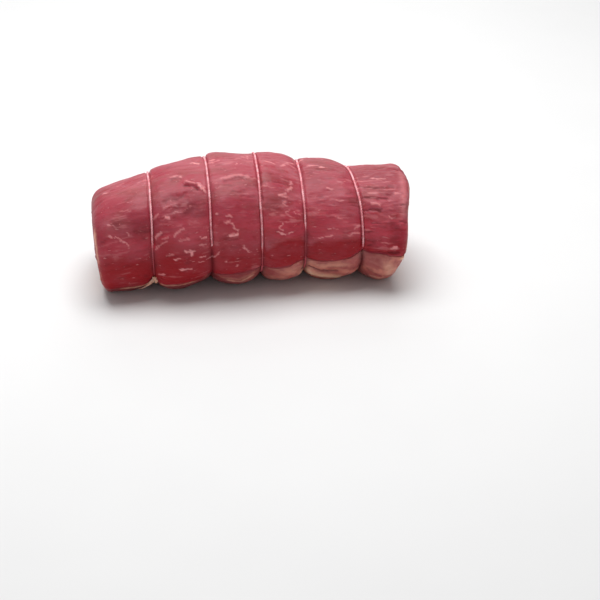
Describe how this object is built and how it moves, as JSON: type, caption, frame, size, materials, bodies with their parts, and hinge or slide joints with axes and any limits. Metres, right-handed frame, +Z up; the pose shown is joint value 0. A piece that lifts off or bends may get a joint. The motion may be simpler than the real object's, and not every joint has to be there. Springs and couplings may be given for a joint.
{
  "type": "raw rolled beef roasting joint",
  "caption": "Raw beef roasting joint, a log of muscle lying on its fat cap and pinched into lobes by loops of butcher's twine.",
  "frame": {"origin": "middle of the joint's length and width, on the surface it lies on", "axes": "+X along the joint towards its right end, +Z up, and -Y towards the front, where the twine and the edge of the fat show"},
  "size_m": [0.263, 0.1172, 0.1026],
  "materials": {
    "raw_beef": "moist",
    "beef_fat": "waxy",
    "butchers_twine": "damp"
  },
  "bodies": {
    "root": {"meat": "raw_beef", "fat_cap": "beef_fat", "tie_1": "butchers_twine", "tie_2": "butchers_twine", "tie_3": "butchers_twine", "tie_4": "butchers_twine", "tie_5": "butchers_twine"}
  },
  "joints": []
}
